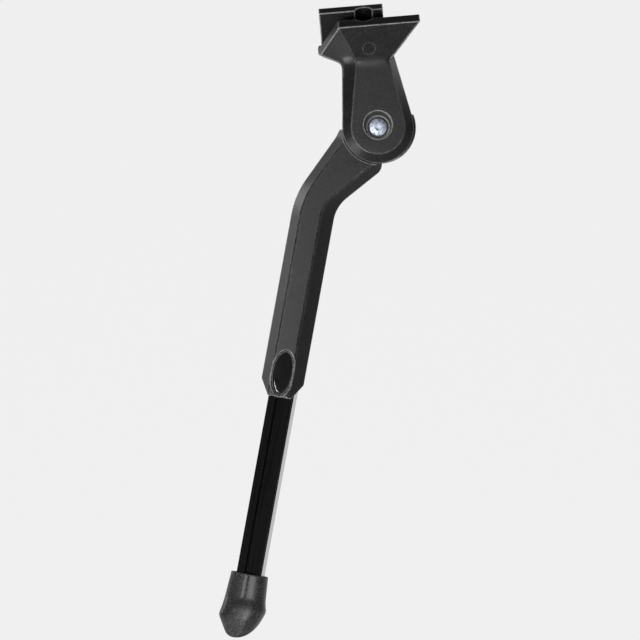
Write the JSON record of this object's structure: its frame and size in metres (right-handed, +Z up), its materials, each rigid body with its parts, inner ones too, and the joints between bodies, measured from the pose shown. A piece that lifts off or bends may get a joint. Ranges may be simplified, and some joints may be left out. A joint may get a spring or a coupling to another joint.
{
  "type": "bicycle kickstand",
  "caption": "Folding bicycle side stand: a grooved frame bracket, a bent cast leg on a pivot, and a sliding bar with a push-button length lock and a rubber foot.",
  "frame": {"origin": "on the axis of the mounting thread, at its mouth in the floor of the saddle groove", "axes": "+X towards the rear of the bicycle, +Z up along the mounting bolt, the leg stands out on the -Y side"},
  "size_m": [0.1235, 0.1352, 0.279],
  "materials": {
    "coated_casting": "black powder coat with a fine grain",
    "zinc_steel": "bright zinc plate",
    "plain_steel": "turned steel",
    "spring_wire": "spring steel wire",
    "bearing_plastic": "moulded bearing plastic",
    "gloss_button": "polished black plastic",
    "anodised_bar": "black anodised front, bright drawn sides",
    "foot_rubber": "grained black rubber"
  },
  "bodies": {
    "bracket": {"frame_bracket": "coated_casting", "pivot_screw": "zinc_steel", "screw_washer": "zinc_steel", "pivot_nut": "zinc_steel", "pivot_sleeve": "plain_steel", "detent_spring": "spring_wire"},
    "detent": {"detent_plunger": "plain_steel"},
    "leg": {"upper_leg": "coated_casting", "front_bush": "bearing_plastic", "rear_bush": "bearing_plastic", "upper_button_spring": "spring_wire", "lower_button_spring": "spring_wire"},
    "button": {"release_button": "gloss_button", "lock_shoe": "plain_steel"},
    "bar": {"lower_bar": "anodised_bar", "bar_end_cap": "bearing_plastic", "rubber_foot": "foot_rubber"}
  },
  "joints": [
    {"name": "leg_fold", "type": "hinge", "parent": "bracket", "child": "leg", "pos_m": [0.0026, -0.0161, -0.0378], "axis": [0, -0.9135, 0.4067], "range_deg": [0, 105]},
    {"name": "leg_length", "type": "slide", "parent": "leg", "child": "bar", "axis": [-0.2588, -0.3929, -0.8824], "range_m": [-0.0318, 0.0198]},
    {"name": "button_press", "type": "slide", "parent": "leg", "child": "button", "axis": [0, 0.9135, -0.4067], "range_m": [0, 0.0012], "stiffness_N_per_m": 1500, "springref_m": -0.002, "deforming": ["upper_button_spring", "lower_button_spring"]},
    {"name": "detent_travel", "type": "slide", "parent": "bracket", "child": "detent", "axis": [0, -0.4067, -0.9135], "range_m": [0, 0.0005], "stiffness_N_per_m": 3000, "deforming": ["detent_spring"]}
  ]
}
